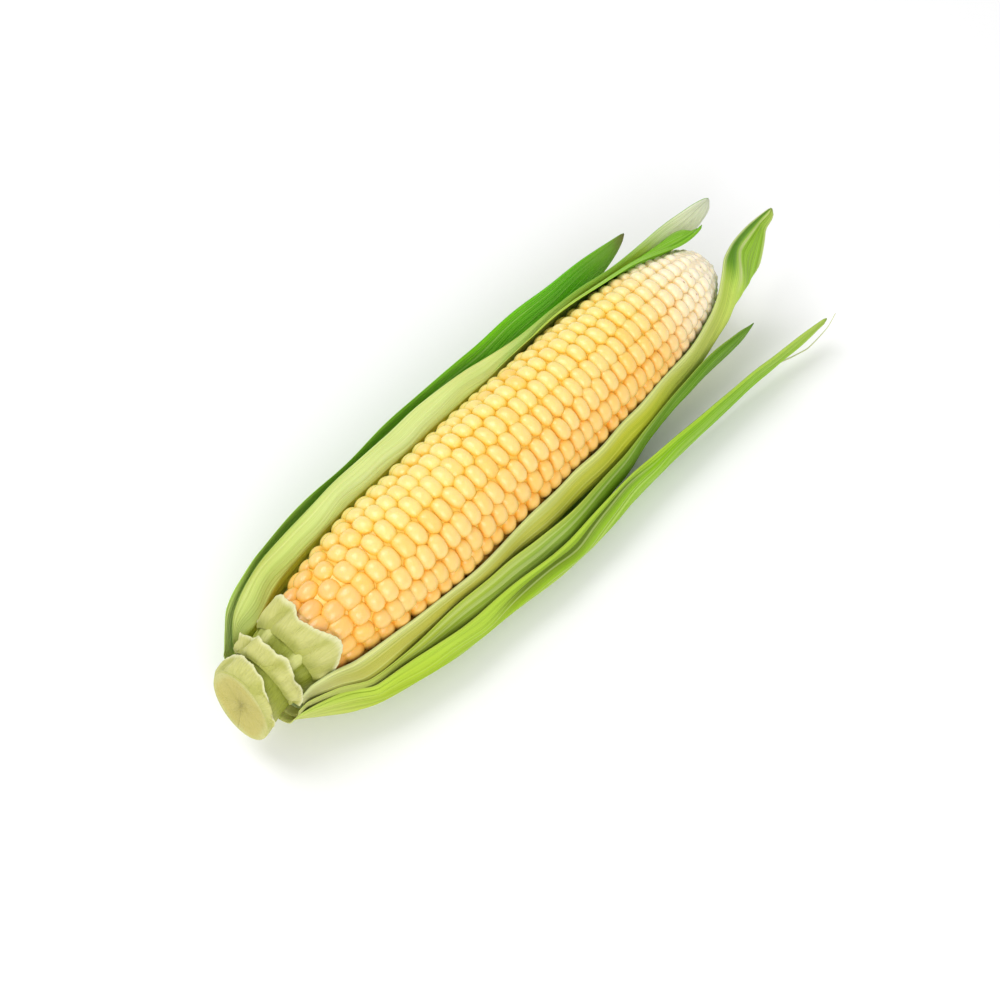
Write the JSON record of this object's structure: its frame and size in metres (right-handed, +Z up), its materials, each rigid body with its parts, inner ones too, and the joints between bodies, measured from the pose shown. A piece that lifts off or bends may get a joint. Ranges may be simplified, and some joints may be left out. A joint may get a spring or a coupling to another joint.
{
  "type": "corn cob",
  "caption": "Fresh sweet corn ear lying on its side in opened green husk leaves, with a short cut shank and torn husk stubs.",
  "frame": {"origin": "on the surface it rests on, under the centre of its bounding box", "axes": "+X along the ear from the cut shank to the tip, +Z up, out of the open side of the husk; -Y is the side with the three near leaves"},
  "size_m": [0.2782, 0.0814, 0.051],
  "materials": {
    "kernels": "glossy, juicy, pale yellow to orange",
    "shank": "matt, fibrous, olive green",
    "husk_inner": "satin, finely veined, pale green",
    "husk_outer": "satin, finely veined, bright green",
    "husk_stub": "matt, ragged, whitish green"
  },
  "bodies": {
    "root": {"ear": "kernels", "shank": "shank", "husk_leaf_near_inner": "husk_inner", "husk_leaf_near_middle": "husk_inner", "husk_leaf_near_outer": "husk_outer", "husk_leaf_far_inner": "husk_inner", "husk_leaf_far_middle": "husk_outer", "husk_leaf_far_outer": "husk_outer", "husk_leaf_under": "husk_outer", "husk_stub_low": "husk_stub", "husk_stub_middle": "husk_stub", "husk_stub_high": "husk_stub"}
  },
  "joints": []
}
